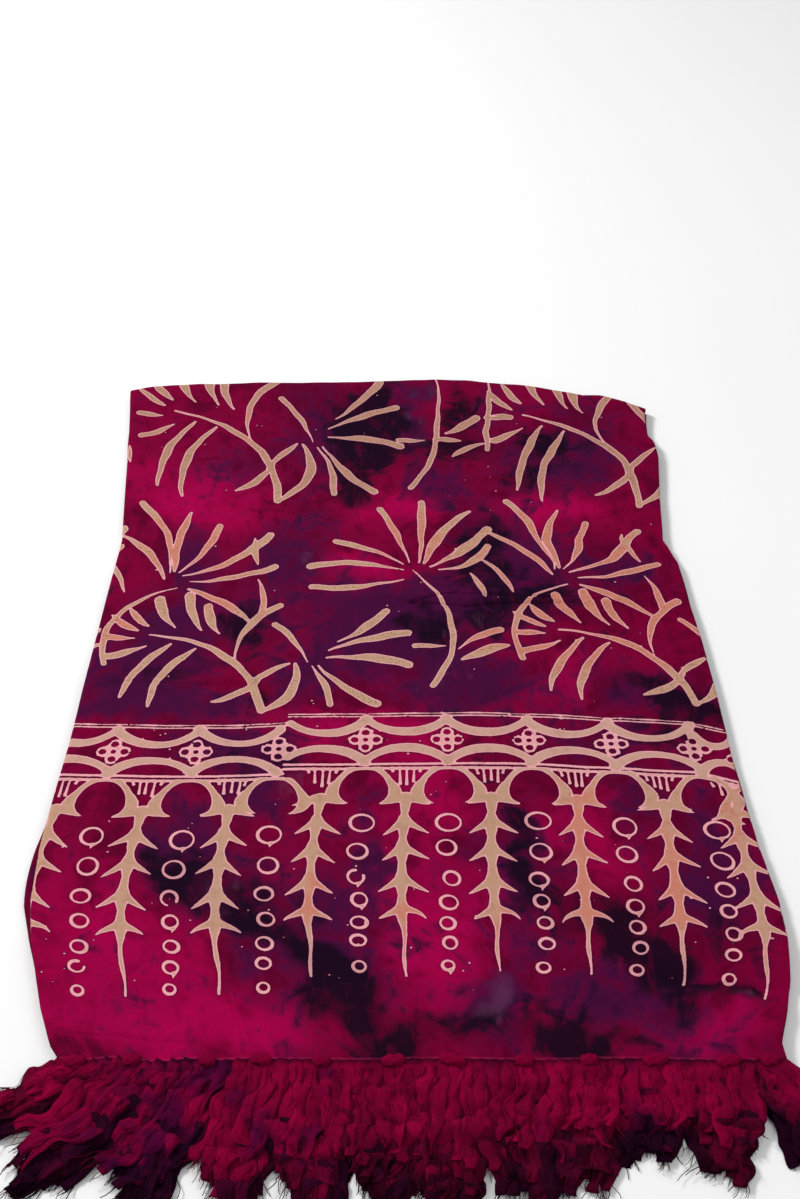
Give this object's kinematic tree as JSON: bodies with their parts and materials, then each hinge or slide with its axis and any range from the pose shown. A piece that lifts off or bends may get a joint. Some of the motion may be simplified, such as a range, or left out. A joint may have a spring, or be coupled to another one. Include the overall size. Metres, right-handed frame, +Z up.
{
  "type": "sarong",
  "caption": "Batik sarong folded flat in layers, with a wax-resist print on a fuchsia ground and knotted fringe along the near hems.",
  "frame": {"origin": "middle of the folded sarong and its fringe, on the surface it lies on", "axes": "+X to the right across the pile, from the side fold to the selvages; +Y away from the fringe, toward the far fold; +Z up"},
  "size_m": [0.596, 0.9928, 0.0112],
  "materials": {
    "cloth_top": "matt, with a slight sheen",
    "cloth_under": "matt",
    "fringe_yarn": "matt"
  },
  "bodies": {
    "root": {"cloth_top_layer": "cloth_top", "cloth_under_layers": "cloth_under", "fringe_row_top": "fringe_yarn", "fringe_row_second": "fringe_yarn", "fringe_row_third": "fringe_yarn", "fringe_row_bottom": "fringe_yarn"}
  },
  "joints": []
}
